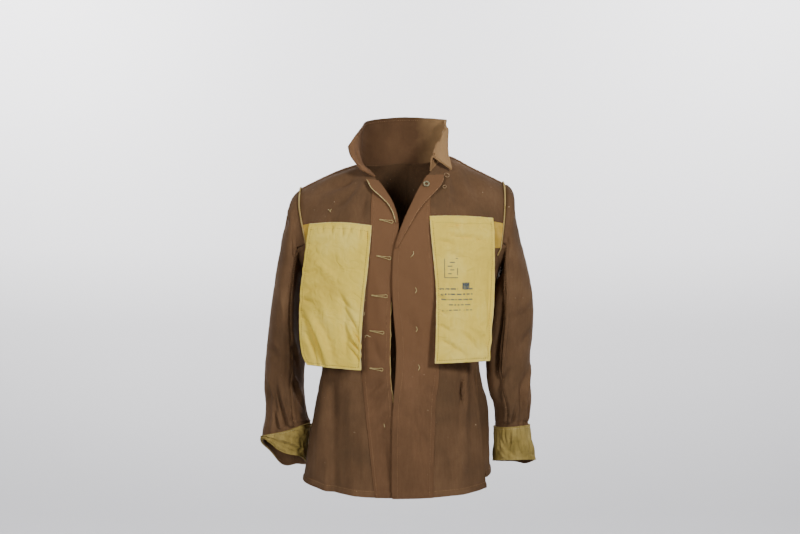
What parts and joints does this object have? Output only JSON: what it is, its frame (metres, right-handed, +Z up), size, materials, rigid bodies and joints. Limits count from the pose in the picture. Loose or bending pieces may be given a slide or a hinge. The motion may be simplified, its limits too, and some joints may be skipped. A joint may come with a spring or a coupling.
{
  "type": "military jacket",
  "caption": "Hip-length wool field jacket turned inside out: hollow body open down the front, turned-up collar, two-piece sleeves, hanging pocket bags.",
  "frame": {"origin": "between the shoulders at neck height, where the wearer carries the jacket", "axes": "+Z up, from hem to collar; -Y towards the open front; -X towards the wearer's right sleeve"},
  "size_m": [0.503, 0.246, 0.6695],
  "materials": {
    "wool": "brushed brown wool serge",
    "facing": "brown wool facing",
    "collar": "faded brown wool collar",
    "bag_cotton": "washed yellow cotton drill",
    "cuff_cotton": "olive yellow cotton",
    "binding": "tan cotton tape",
    "hardware": "drab moulded ring and thread-bound wire"
  },
  "bodies": {
    "root": {"front_right": "wool", "front_left": "wool", "back_right": "wool", "back_left": "wool", "top_sleeve_right": "wool", "top_sleeve_left": "wool", "under_sleeve_right": "wool", "under_sleeve_left": "wool", "shoulder_seam_right": "wool", "shoulder_seam_left": "wool", "front_facing_right": "facing", "front_facing_left": "facing", "lapel_right": "facing", "lapel_left": "facing", "armhole_binding_right_front": "binding", "armhole_binding_left_front": "binding", "armhole_binding_right_back": "binding", "armhole_binding_left_back": "binding", "collar": "collar", "pocket_bag_right": "bag_cotton", "pocket_bag_left": "bag_cotton", "pocket_stay_right": "bag_cotton", "pocket_stay_left": "bag_cotton", "cuff_facing_right": "cuff_cotton", "cuff_facing_left": "cuff_cotton", "ring_button": "hardware", "collar_eye": "hardware", "collar_hook": "hardware"}
  },
  "joints": []
}
